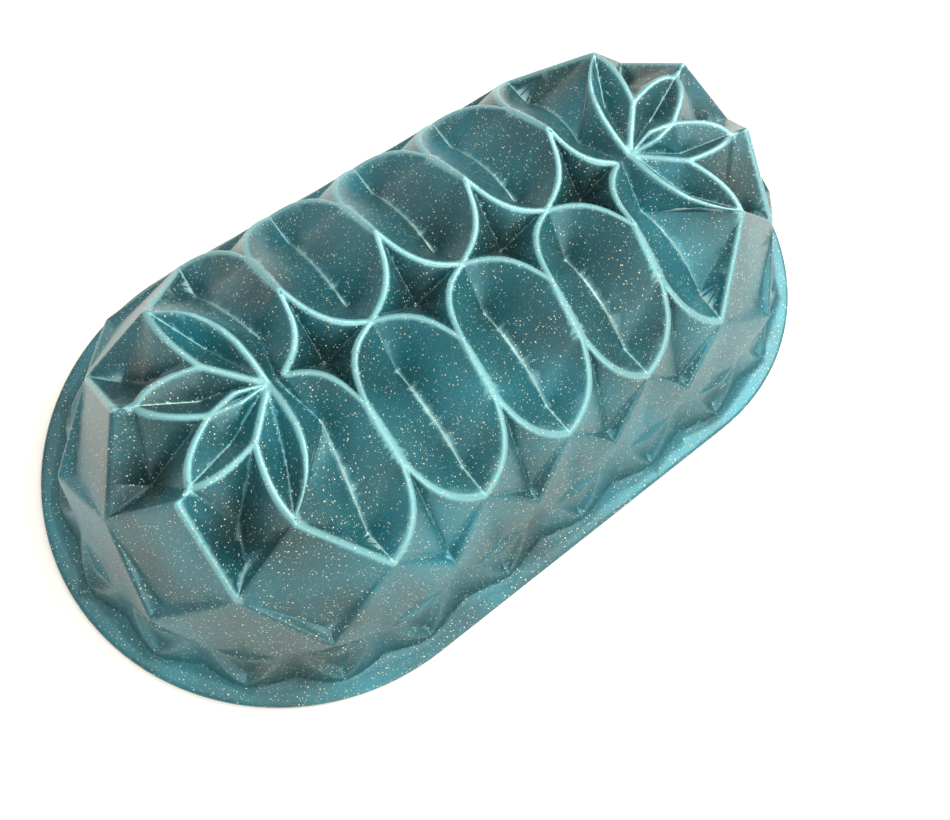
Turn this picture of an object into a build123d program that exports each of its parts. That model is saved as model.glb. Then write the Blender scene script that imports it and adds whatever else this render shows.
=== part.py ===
from build123d import *
import math
import os

# Oval cake pan, a cast aluminium shell with a coat on each side, lying rim down.
# X runs along the pan, Z is up, and the origin is on the table under the middle.

# Overall sizes, millimetres
bay = 34.0                # pitch of the lenses along the straight stretch
bay_count = 4             # bays between the two end centres
wall = 3.0                # casting
coat = 0.3                # stand-in thickness of each coat
flange_out = 87.0         # middle of the pan to the edge of the flange
flange_thickness = 3.0
flange_round = 1.2        # rounded upper edge of the flange
foot_out = 80.0           # mean distance of the wall's foot
foot_wave = 1.6           # how far the foot swings in and out of its mean
foot_lean = 75.0          # degrees that the wall leans out at its foot
curve_steps = 3           # straight steps in each curved ridge or valley
same_point = 0.01         # points nearer than this are one point of the wall's foot

# Nodes on the middle line, and the stars between them
node_height = 71.0
star_floor_height = 60.0
star_tip_in = 4.2         # the outermost star's tip, from the end centre towards the middle
star_tip_height = 72.0
gate_in = 1.8             # where the valleys of the last two lenses meet
gate_height = 69.5
hub_out = 1.2             # where the leaves meet
hub_height = 72.5

# Lenses: two shoulders on each side, a tip, and a valley that bends twice
upper_shoulder_out = 21.2
upper_shoulder_height = 75.7
lower_shoulder_out = 40.9
lower_shoulder_height = 65.5
lens_tip_out = 59.3
lens_tip_height = 49.1
valley_top_out = 13.4
valley_top_height = 57.0
valley_foot_out = 47.4
valley_foot_height = 47.8
lens_bow = 4.0            # sideways swell of the lens outline
valley_rise = 4.5         # upward swell of the long valley
kink_in = 5.3             # the last lens's valley bends here, towards the middle
kink_out = 16.2
kink_height = 64.5
last_valley_foot_in = -1.2

# Kites between the lens tips, each with a notch at its foot
kite_foot_out = 69.3
kite_foot_height = 31.5
end_kite_foot_out = 72.0  # the same corner round the ends
notch_depth = 5.0         # from the kite's foot in to the notch's inner corner
notch_height = 32.0
notch_share = 0.45        # length of the notch as a share of the kite's lower edge

# Eyes along the foot of the wall
eye_turn = 22.5           # degrees between the eyes round the ends
eye_half = 10.0           # half the width of an eye
ledge_inner_out = 71.0
ledge_inner_height = 20.8
ledge_outer_out = 74.0
ledge_outer_height = 19.0
ledge_tip_out = 72.4
ledge_tip_height = 20.4
neck_out = 71.6           # between two eyes
neck_height = 22.0
hollow_out = 77.2         # bottom of the hollow under the ledge
hollow_height = 5.8
eye_foot_out = 80.8       # lowest point of the eye
eye_foot_height = 4.4
eye_side_half = 5.8       # point halfway down the eye's side
eye_side_out = 77.4
eye_side_height = 11.2
neck_mid_out = 74.6       # valley between two eyes
neck_mid_height = 11.5

# End rosettes: leaves A and B on each side of the long axis, diamonds between them
leaf_a_turn = 65.5
leaf_a_out = 41.7
leaf_a_height = 73.5
leaf_b_turn = 22.3
leaf_b_out = 37.5
leaf_b_height = 74.5
leaf_bow = 2.6
leaf_rise = 1.0
lens_leaf_bow = 7.0       # swell of leaf A towards the last lens
lens_leaf_rise = 2.8
leaf_valley_share = 0.55  # where the leaf's valley bends, from its tip's distance
leaf_valley_height = 67.5
inner_corner_out = 20.0   # where two leaves part
inner_corner_height = 76.0
bud_half = 1.6            # half width of the small bud on the long axis
bud_out = 9.0
bud_height = 76.0
bud_floor_height = 72.0
kite_top_out = 42.3
kite_top_height = 76.0
diamond_out = 59.0
diamond_height = 50.5
diamond_turn = 45.0
axis_pit_out = 43.5
axis_pit_height = 53.0
side_pit_turn = 41.0
side_pit_out = 39.0
side_pit_height = 58.5
side_shelf_out = 48.5
side_shelf_height = 49.8

half_length = bay * bay_count / 2


def settle(out, height, inset):
    """Move a point of the outer skin inwards by the inset, along a direction that leans over."""
    lean = math.radians(foot_lean * out / foot_out)
    return out - inset * math.sin(lean), height - inset * math.cos(lean)


def side_place(column, sense, along, out, height, inset):
    """Point beside the straight stretch, a distance along from its lens column."""
    out, height = settle(out, height, inset)
    return Vector(column + sense * along, out, height)


def end_place(turn, out, height, inset):
    """Point round the end, turned from the long axis."""
    out, height = settle(out, height, inset)
    angle = math.radians(turn)
    return Vector(half_length + out * math.cos(angle), out * math.sin(angle), height)


def line(start, end):
    return [start + (end - start) * (step / curve_steps) for step in range(curve_steps + 1)]


def bow(start, end, away_from, swell, rise=0.0):
    """Curved ridge or valley that swells sideways, away from a point, and upwards."""
    push = (start + end) * 0.5 - away_from
    push = Vector(push.X, push.Y, 0).normalized() * swell + Vector(0, 0, rise)
    return [
        point + push * (4 * (step / curve_steps) * (1 - step / curve_steps))
        for step, point in enumerate(line(start, end))
    ]


def fan(apex, curve):
    return [(apex, first, second) for first, second in zip(curve, curve[1:])]


def strip(left, right):
    cells = []
    for index in range(len(left) - 1):
        cells.append((left[index], left[index + 1], right[index]))
        cells.append((left[index + 1], right[index + 1], right[index]))
    return cells


def kite_half(side_curve, corner, foot, notch):
    """Half a kite along one side from its top, with half of the notch at its foot."""
    notch_start = foot + (corner - foot) * notch_share
    cells = fan(notch, side_curve)
    cells.append((notch, corner, notch_start))
    cells.append((notch, notch_start, foot))
    return cells


def eye_half_cells(place, inset, neck_share):
    """Half an eye, from its middle to the neck beside it, down to the table."""
    foot_at = [foot_out + foot_wave, foot_out, foot_out - foot_wave]
    inner = place(0, ledge_inner_out, ledge_inner_height)
    outer = place(0, ledge_outer_out, ledge_outer_height)
    tip = place(eye_half, ledge_tip_out, ledge_tip_height)
    neck = place(neck_share, neck_out, neck_height)
    hollow = place(0, hollow_out, hollow_height)
    low = place(0, eye_foot_out, eye_foot_height)
    side = place(eye_side_half, eye_side_out, eye_side_height)
    neck_mid = place(neck_share, neck_mid_out, neck_mid_height)
    tops = []
    bottoms = []
    for share, out in zip((0, 0.5, 1), foot_at):
        skin = place(neck_share * share, out, flange_thickness)
        tops.append(Vector(skin.X, skin.Y, flange_thickness))
        bottoms.append(Vector(skin.X, skin.Y, 0))
    cells = [
        (inner, outer, tip),
        (outer, hollow, tip),
        (hollow, side, tip),
        (hollow, low, side),
        (tip, side, neck_mid),
        (tip, neck_mid, neck),
        (low, tops[0], tops[1]),
        (low, tops[1], side),
        (side, tops[1], neck_mid),
        (neck_mid, tops[1], tops[2]),
    ]
    for index in range(2):
        cells.append((tops[index], bottoms[index], tops[index + 1]))
        cells.append((bottoms[index], bottoms[index + 1], tops[index + 1]))
    return cells, inner, tip, neck, bottoms


def half_bay(index, inset):
    """Strip of the pan from a lens column to the middle of the next bay, on one side."""
    sense = 1 if index % 2 else -1
    column = half_length - bay * ((index + 1) // 2)

    def place(along, out, height):
        return side_place(column, sense, along, out, height, inset)

    half = bay / 2
    node = place(0, 0, node_height)
    star_floor = place(half, 0, star_floor_height)
    upper = place(half, upper_shoulder_out, upper_shoulder_height)
    lower = place(half, lower_shoulder_out, lower_shoulder_height)
    tip = place(0, lens_tip_out, lens_tip_height)
    valley_top = place(0, valley_top_out, valley_top_height)
    valley_foot = place(0, valley_foot_out, valley_foot_height)
    if index == 0:
        node = place(star_tip_in, 0, star_tip_height)
        valley_top = place(kink_in, kink_out, kink_height)
        valley_foot = place(last_valley_foot_in, valley_foot_out, valley_foot_height)
    foot = place(half, kite_foot_out, kite_foot_height)
    notch = place(half, kite_foot_out - notch_depth, notch_height)

    upper_edge = bow(node, upper, place(0, upper_shoulder_out, 0), lens_bow)
    lower_edge = bow(lower, tip, place(0, lower_shoulder_out, 0), lens_bow)
    shared_edge = line(upper, lower)
    long_valley = bow(valley_top, valley_foot, node, 0.0, valley_rise)
    cells = fan(valley_top, upper_edge)
    if index == 0:
        cells.append((place(gate_in, 0, gate_height), node, valley_top))
    cells += strip(long_valley, shared_edge)
    cells += fan(valley_foot, lower_edge)
    cells += fan(star_floor, upper_edge)
    cells += kite_half(lower_edge, tip, foot, notch)
    eye_cells, inner, eye_tip, neck, bottoms = eye_half_cells(place, inset, half)
    cells += eye_cells
    cells += [(tip, inner, eye_tip), (tip, eye_tip, foot), (foot, eye_tip, neck)]
    return cells, bottoms


def half_eye_at(turn, sense, inset):
    """Half an eye round the end, from its middle at this turn to the neck beside it."""
    def place(along, out, height):
        return end_place(turn + sense * math.degrees(along / ledge_tip_out), out, height, inset)

    return eye_half_cells(place, inset, ledge_tip_out * math.radians(eye_turn / 2))


def end_skirt(turn, sense, corner, foot, inset):
    """Facets under a corner of a diamond or a lens, down to the table, one eye wide."""
    cells, inner, first_tip, neck, bottoms = half_eye_at(turn, sense, inset)
    more, under_foot, second_tip, neck, far_bottoms = half_eye_at(turn + sense * eye_turn, -sense, inset)
    cells += more
    cells += [
        (corner, inner, first_tip),
        (corner, first_tip, neck),
        (corner, neck, foot),
        (neck, second_tip, foot),
        (foot, second_tip, under_foot),
    ]
    return cells, bottoms + far_bottoms[-2::-1]


def end_quarter(inset):
    """Half of the pan's end, from the long axis round to the last lens."""
    def place(turn, out, height):
        return end_place(turn, out, height, inset)

    hub = place(0, hub_out, hub_height)
    axis_corner = place(0, inner_corner_out, inner_corner_height)
    side_corner = place(diamond_turn, inner_corner_out, inner_corner_height)
    leaf_b = place(leaf_b_turn, leaf_b_out, leaf_b_height)
    leaf_a = place(leaf_a_turn, leaf_a_out, leaf_a_height)
    kite_top = place(eye_turn, kite_top_out, kite_top_height)
    axis_diamond = place(0, diamond_out, diamond_height)
    side_diamond = place(diamond_turn, diamond_out, diamond_height)
    axis_pit = place(0, axis_pit_out, axis_pit_height)
    side_pit = place(side_pit_turn, side_pit_out, side_pit_height)
    side_shelf = place(diamond_turn, side_shelf_out, side_shelf_height)
    lens_tip = place(90, lens_tip_out, lens_tip_height)
    gate = side_place(half_length, -1, gate_in, 0, gate_height, inset)
    valley_top = side_place(half_length, -1, kink_in, kink_out, kink_height, inset)
    valley_foot = side_place(half_length, -1, last_valley_foot_in, valley_foot_out, valley_foot_height, inset)
    bud_side = place(math.degrees(math.atan2(bud_half, bud_out)), bud_out, bud_height)
    bud_floor = place(0, bud_out, bud_floor_height)

    def leaf_valley(turn, tip_out):
        return place(turn, tip_out * leaf_valley_share, leaf_valley_height)

    bend_b = leaf_valley(leaf_b_turn, leaf_b_out)
    bend_a = leaf_valley(leaf_a_turn, leaf_a_out)
    leaf_b_axis_edge = bow(axis_corner, leaf_b, place(leaf_b_turn, inner_corner_out, 0), leaf_bow, leaf_rise)
    leaf_b_side_edge = bow(side_corner, leaf_b, place(leaf_b_turn, inner_corner_out, 0), leaf_bow, leaf_rise)
    leaf_a_axis_edge = bow(side_corner, leaf_a, place(leaf_a_turn, inner_corner_out, 0), leaf_bow, leaf_rise)
    lens_edge = bow(hub, leaf_a, side_corner, lens_leaf_bow, lens_leaf_rise)
    cells = [(hub, bud_floor, bud_side), (bud_floor, axis_corner, bud_side)]

    # Leaf B, between the long axis and the side diamond
    cells += [(hub, bud_side, bend_b), (bud_side, axis_corner, bend_b), (hub, bend_b, side_corner)]
    cells += fan(bend_b, leaf_b_axis_edge)
    cells += fan(bend_b, leaf_b_side_edge)

    # Leaf A, between the side diamond and the last lens
    cells += [(hub, side_corner, bend_a)]
    cells += fan(bend_a, leaf_a_axis_edge)
    cells += fan(bend_a, lens_edge)

    # Outer half of the last lens
    straight = line(leaf_a, lens_tip)
    long_valley = bow(valley_top, valley_foot, hub, 0.0, valley_rise)
    cells.append((gate, hub, valley_top))
    cells += fan(valley_top, lens_edge)
    cells += fan(leaf_a, long_valley)
    cells += fan(valley_foot, straight)

    # Diamonds, each round its pit
    cells += fan(axis_pit, leaf_b_axis_edge)
    cells += [(axis_pit, leaf_b, kite_top), (axis_pit, kite_top, axis_diamond)]
    cells += fan(side_pit, leaf_b_side_edge)
    cells += fan(side_pit, leaf_a_axis_edge)
    cells += [
        (side_pit, leaf_b, kite_top),
        (side_pit, kite_top, side_shelf),
        (side_shelf, kite_top, side_diamond),
        (side_pit, leaf_a, side_shelf),
        (side_shelf, leaf_a, side_diamond),
    ]

    # Kites
    near_turn = eye_turn
    far_turn = 3 * eye_turn
    near_foot = place(near_turn, end_kite_foot_out, kite_foot_height)
    near_notch = place(near_turn, end_kite_foot_out - notch_depth, notch_height)
    far_foot = place(far_turn, end_kite_foot_out, kite_foot_height)
    far_notch = place(far_turn, end_kite_foot_out - notch_depth, notch_height)
    cells += kite_half(line(kite_top, axis_diamond), axis_diamond, near_foot, near_notch)
    cells += kite_half(line(kite_top, side_diamond), side_diamond, near_foot, near_notch)
    cells += kite_half(line(leaf_a, side_diamond), side_diamond, far_foot, far_notch)
    cells += kite_half(straight, lens_tip, far_foot, far_notch)

    # Facets below, from the long axis round to the last lens
    rim = []
    for turn, sense, corner, foot in (
        (0, 1, axis_diamond, near_foot),
        (diamond_turn, -1, side_diamond, near_foot),
        (diamond_turn, 1, side_diamond, far_foot),
        (90, -1, lens_tip, far_foot),
    ):
        skirt, bottoms = end_skirt(turn, sense, corner, foot, inset)
        cells += skirt
        rim += bottoms[::sense]
    return cells, rim


def dome(inset):
    """Closed solid under the relief, moved inwards by the inset."""
    quarter, rim = end_quarter(inset)
    for index in range(bay_count):
        cells, bottoms = half_bay(index, inset)
        quarter += cells
        rim += bottoms if index % 2 == 0 else bottoms[::-1]
    faces = []
    for across in (1, -1):
        for side in (1, -1):
            for cell in quarter:
                corners = [Vector(across * point.X, side * point.Y, point.Z) for point in cell]
                faces.append(Face(Wire.make_polygon(corners)))
    base = []
    for across, side, step in ((1, 1, 1), (-1, 1, -1), (-1, -1, 1), (1, -1, -1)):
        base += [Vector(across * point.X, side * point.Y, 0) for point in rim[::step]]
    outline = [
        point for point, previous in zip(base, base[-1:] + base) if (point - previous).length > same_point
    ]
    faces.append(Face(Wire.make_polygon(outline)))
    return Solid(Shell(faces))


def flange(inset):
    """Plate under the dome with a rounded upper edge, moved inwards by the inset."""
    with BuildPart() as plate:
        with BuildSketch():
            SlotCenterToCenter(2 * half_length, 2 * (flange_out - inset))
        extrude(amount=flange_thickness - inset)
        fillet(plate.faces().sort_by(Axis.Z)[-1].edges(), flange_round)
    return plate.part


outside = dome(0)
under_coat = dome(coat)
cavity = dome(coat + wall)
free_space = dome(coat + wall + coat)
coated_flange = flange(0)
bare_flange = flange(coat)

with BuildPart() as cast_body:
    add(bare_flange)
    add(under_coat)
    add(cavity, mode=Mode.SUBTRACT)
cast_body.part.label = "cast_body"

with BuildPart() as outer_coating:
    add(coated_flange)
    add(outside)
    add(bare_flange, mode=Mode.SUBTRACT)
    add(under_coat, mode=Mode.SUBTRACT)
outer_coating.part.label = "outer_coating"

with BuildPart() as inner_coating:
    add(cavity)
    add(free_space, mode=Mode.SUBTRACT)
inner_coating.part.label = "inner_coating"

os.makedirs("parts", exist_ok=True)
for piece in (cast_body, outer_coating, inner_coating):
    export_step(piece.part, f"parts/{piece.part.label}.step")
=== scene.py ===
"""Oval cake pan, rim down: its two coats, its casting, the floor, the lights and the camera."""

import math

import bmesh
import bpy
import numpy as np
from mathutils import Matrix, Vector
from mathutils.bvhtree import BVHTree
from mathutils.kdtree import KDTree


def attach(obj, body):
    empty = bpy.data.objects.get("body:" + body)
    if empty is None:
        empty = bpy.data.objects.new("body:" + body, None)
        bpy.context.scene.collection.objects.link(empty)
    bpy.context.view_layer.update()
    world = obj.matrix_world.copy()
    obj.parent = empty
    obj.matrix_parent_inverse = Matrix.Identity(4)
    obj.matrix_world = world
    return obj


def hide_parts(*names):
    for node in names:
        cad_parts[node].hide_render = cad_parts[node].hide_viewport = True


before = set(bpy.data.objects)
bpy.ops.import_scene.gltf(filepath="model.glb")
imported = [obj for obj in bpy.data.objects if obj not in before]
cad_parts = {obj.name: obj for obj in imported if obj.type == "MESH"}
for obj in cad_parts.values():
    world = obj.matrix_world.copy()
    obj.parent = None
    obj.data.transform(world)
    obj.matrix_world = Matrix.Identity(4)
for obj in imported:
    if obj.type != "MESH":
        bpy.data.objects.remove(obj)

bl_info = {
    "name": "Oval cake pan",
    "version": (1, 0, 0),
    "blender": (4, 5, 0),
    "location": "View3D > Sidebar > Cake pan",
    "description": "Builds an oval cast cake pan with its speckled coat",
    "category": "Add Mesh",
}

MM = 0.001

# Relief of the outside, millimetres, as in the CAD model
BAY_COUNT = 4
FOOT_OUT = 80.0
FOOT_WAVE = 1.6
FOOT_LEAN = 75.0
FLANGE_THICKNESS = 3.0
FLANGE_ROUND = 1.2
CURVE_STEPS = 7

# Nodes on the middle line, and the stars between them
NODE_HEIGHT = 71.0
STAR_FLOOR_HEIGHT = 60.0
STAR_TIP_IN = 4.2
STAR_TIP_HEIGHT = 72.0
GATE_IN = 1.8
GATE_HEIGHT = 69.5
HUB_OUT = 1.2
HUB_HEIGHT = 72.5

# Lenses: two shoulders on each side, a tip, and a valley that bends twice
UPPER_SHOULDER_OUT = 21.2
UPPER_SHOULDER_HEIGHT = 75.7
LOWER_SHOULDER_OUT = 40.9
LOWER_SHOULDER_HEIGHT = 65.5
LENS_TIP_OUT = 59.3
LENS_TIP_HEIGHT = 49.1
VALLEY_TOP_OUT = 13.4
VALLEY_TOP_HEIGHT = 57.0
VALLEY_FOOT_OUT = 47.4
VALLEY_FOOT_HEIGHT = 47.8
LENS_BOW = 4.0
VALLEY_RISE = 4.5
KINK_IN = 5.3
KINK_OUT = 16.2
KINK_HEIGHT = 64.5
LAST_VALLEY_FOOT_IN = -1.2

# Kites between the lens tips, each with a notch at its foot
KITE_FOOT_OUT = 69.3
KITE_FOOT_HEIGHT = 31.5
END_KITE_FOOT_OUT = 72.0
NOTCH_DEPTH = 5.0
NOTCH_HEIGHT = 32.0
NOTCH_SHARE = 0.45

# Eyes along the foot of the wall
EYE_TURN = 22.5
EYE_HALF = 10.0
LEDGE_INNER = (71.0, 20.8)
LEDGE_OUTER = (74.0, 19.0)
LEDGE_TIP = (72.4, 20.4)
NECK = (71.6, 22.0)
HOLLOW = (77.2, 5.8)
EYE_FOOT = (80.8, 4.4)
EYE_SIDE_HALF = 5.8
EYE_SIDE = (77.4, 11.2)
NECK_MID = (74.6, 11.5)

# End rosettes, as (turn from the long axis in degrees, distance out, height)
LEAF_A = (65.5, 41.7, 73.5)
LEAF_B = (22.3, 37.5, 74.5)
LEAF_BOW = 2.6
LEAF_RISE = 1.0
LENS_LEAF_BOW = 7.0
LENS_LEAF_RISE = 2.8
LEAF_VALLEY_SHARE = 0.55
LEAF_VALLEY_HEIGHT = 67.5
INNER_CORNER = (20.0, 76.0)
BUD_HALF = 1.6
BUD = (9.0, 76.0)
BUD_FLOOR_HEIGHT = 72.0
KITE_TOP = (22.5, 42.3, 76.0)
DIAMOND = (59.0, 50.5)
DIAMOND_TURN = 45.0
AXIS_PIT = (0.0, 43.5, 53.0)
SIDE_PIT = (41.0, 39.0, 58.5)
SIDE_SHELF = (45.0, 48.5, 49.8)

# Points along half an eye's foot, and round the flange's edge
FOOT_STEPS = 4
EDGE_STEPS = 4

# Refinement of the facets, in millimetres
PASSES = 9                # rounds of splitting edges, at most
SLACK = 1.35              # an edge may be this many times its wanted length
GROWTH = 0.6              # wanted length gained with each millimetre away from a crease
VALLEY_EDGE = 0.95        # wanted length of an edge in a valley
CREASE_TURN = math.radians(22)
CREASE_SPACING = 0.5      # between the points that stand for a crease
SMOOTH_ROUNDS = 12
WELD = 0.002
SLIVER = 0.001            # a triangle flatter than this has no area
SLIVER_ROUNDS = 4
SKIN_FACES = 96000        # in one skin, before it gets its thickness

# Facets moved into the metal, which the ridges are rounded from
SAME_PLANE = 0.995        # cosine of the turn between two normals that count as one
DAMPING = 0.01            # keeps a corner of nearly parallel facets from running away
LONGEST_MOVE = 2.4        # of a corner, as a multiple of the ridge's radius

# Bands beside ridges and valleys that the paler thin coat and the painted highlights follow, and the reach
# of the painted shade round the hollows, in millimetres, and their strengths
RIB_BAND = 1.55
LINE_BAND = 0.5
BAND_REACH = 1.6          # the search goes this many bands out
BAND_FALL = 4             # power of the fall at a band's edge: a flat top and a short slope
HOLLOW_SHADE_REACH = 12.0
LOW_RIB = 0.75
PLAIN = 0.02              # less than this is no part of a rib or a line

# The inner coat stops this far from the flange's edge, inside the outer coat
RIM_COAT_IN = 0.0004

# The casting shows nowhere, so it is drawn thinner than it is, between the coats, in millimetres
CORE_INSET = 2.1
CORE_LEVEL = 1.6
CORE_THICKNESS = 0.3

# Colours of the coat where it is thick, thins or carries grit, of its painted shade and painted highlights,
# and of the casting and the floor
THICK_SPRAY = "#196d7a"
# Painted shade at the bottom of the deep stars and pits
PAINTED_HOLLOW_SHADE = "#0d2b2c"
# Paler thin coat on the ridges, together with a painted highlight
PAINTED_RIB_HIGHLIGHT_AND_THIN_SPRAY = "#7cb6bb"
# Painted highlight along the bottom of a groove
PAINTED_GROOVE_HIGHLIGHT = "#9cc4c0"
DUST = "#a3bcae"
DARK_GRIT = "#0a2b33"
CREAM_GRIT = "#d9d3b4"
BARE_ALUMINIUM = "#b9bcbe"
FLOOR_WHITE = "#f4f4f2"

# Camera of the photo, in the shared frame
CAMERA_PLACE = (-0.09293, -0.08982, 0.29467)
CAMERA_AXES = (
    (0.78696, -0.60889, 0.09976),
    (0.55027, 0.76575, 0.33293),
    (-0.27911, -0.20710, 0.93766),
)
CAMERA_LENS = 31.56

# Soft lamps that face the pan's middle: name, place, width in metres, watts
LAMPS = (
    ("key", (0.6, -0.05, 0.75), 0.6, 9.5),
    ("fill", (-0.1, -0.8, 0.6), 0.9, 8.0),
    ("top", (0.0, 0.1, 1.0), 0.9, 5.0),
)
LAMP_COLOUR = (1.0, 0.95, 0.88)
ROOM_COLOUR = (1, 0.94, 0.86, 1)
ROOM_LIGHT = 0.4

# Half the floor's width, and the hair's breadth that it lies under the rim, so their faces never coincide
FLOOR_HALF = 0.85
FLOOR_GAP = 0.0001


class PanSizes(bpy.types.PropertyGroup):
    """Sizes of the pan and of the mesh that shows it"""

    pitch: bpy.props.FloatProperty(
        name="Pitch", description="Spacing of the lenses along the pan", default=0.034, unit="LENGTH",
    )
    flange_out: bpy.props.FloatProperty(
        name="Flange reach", description="From the middle of the pan to its edge", default=0.087,
        unit="LENGTH",
    )
    wall: bpy.props.FloatProperty(
        name="Wall", description="Thickness of the coated wall", default=0.0036, unit="LENGTH",
    )
    coat: bpy.props.FloatProperty(
        name="Coat", description="Thickness of each coat", default=0.0003, unit="LENGTH",
    )
    outer_ridge: bpy.props.FloatProperty(
        name="Outer ridge radius", description="Rounding of the ridges outside", default=0.0015,
        unit="LENGTH",
    )
    inner_ridge: bpy.props.FloatProperty(
        name="Inner ridge radius", description="Rounding of the ridges inside", default=0.0009,
        unit="LENGTH",
    )
    fine: bpy.props.FloatProperty(
        name="Finest edge", description="Edge length of the mesh on a ridge", default=0.00105, unit="LENGTH",
    )
    coarse: bpy.props.FloatProperty(
        name="Coarsest edge", description="Edge length of the mesh on a flat facet", default=0.005,
        unit="LENGTH",
    )


class PanColours(bpy.types.PropertyGroup):
    """Colours of the pan's coat"""

    coat: bpy.props.FloatVectorProperty(
        name="Coat", description="Teal of the metallic coat", subtype="COLOR", size=3,
        default=(0.009, 0.053, 0.06),
    )


def settle(out, height, inset):
    """Move a point of the outer skin inwards by the inset, along a direction that leans over."""
    lean = math.radians(FOOT_LEAN * out / FOOT_OUT)
    return out - inset * math.sin(lean), height - inset * math.cos(lean)


def line(start, end):
    """Points along a straight ridge, as many as a curved one has."""
    return [start.lerp(end, step / CURVE_STEPS) for step in range(CURVE_STEPS + 1)]


def bow(start, end, away_from, swell, rise=0.0):
    """Curved ridge or valley that swells sideways, away from a point, and upwards."""
    push = (start + end) * 0.5 - away_from
    push.z = 0
    push = push.normalized() * swell + Vector((0, 0, rise))
    return [
        point + push * (4 * (step / CURVE_STEPS) * (1 - step / CURVE_STEPS))
        for step, point in enumerate(line(start, end))
    ]


def fan(apex, curve):
    """Triangles from one point to each step of a curve."""
    return [(apex, first, second) for first, second in zip(curve, curve[1:])]


def strip(left, right):
    """Triangles between two curves with as many points each."""
    cells = []
    for index in range(len(left) - 1):
        cells.append((left[index], left[index + 1], right[index]))
        cells.append((left[index + 1], right[index + 1], right[index]))
    return cells


def kite_half(side_curve, corner, foot, notch, below):
    """Half a kite along one side from its top, with half of the notch at its foot, and the facet below."""
    notch_start = foot.lerp(corner, NOTCH_SHARE)
    return fan(notch, side_curve) + [
        (notch, corner, notch_start),
        (notch, notch_start, foot),
        (corner, notch_start, below),
        (notch_start, foot, below),
    ]


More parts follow.
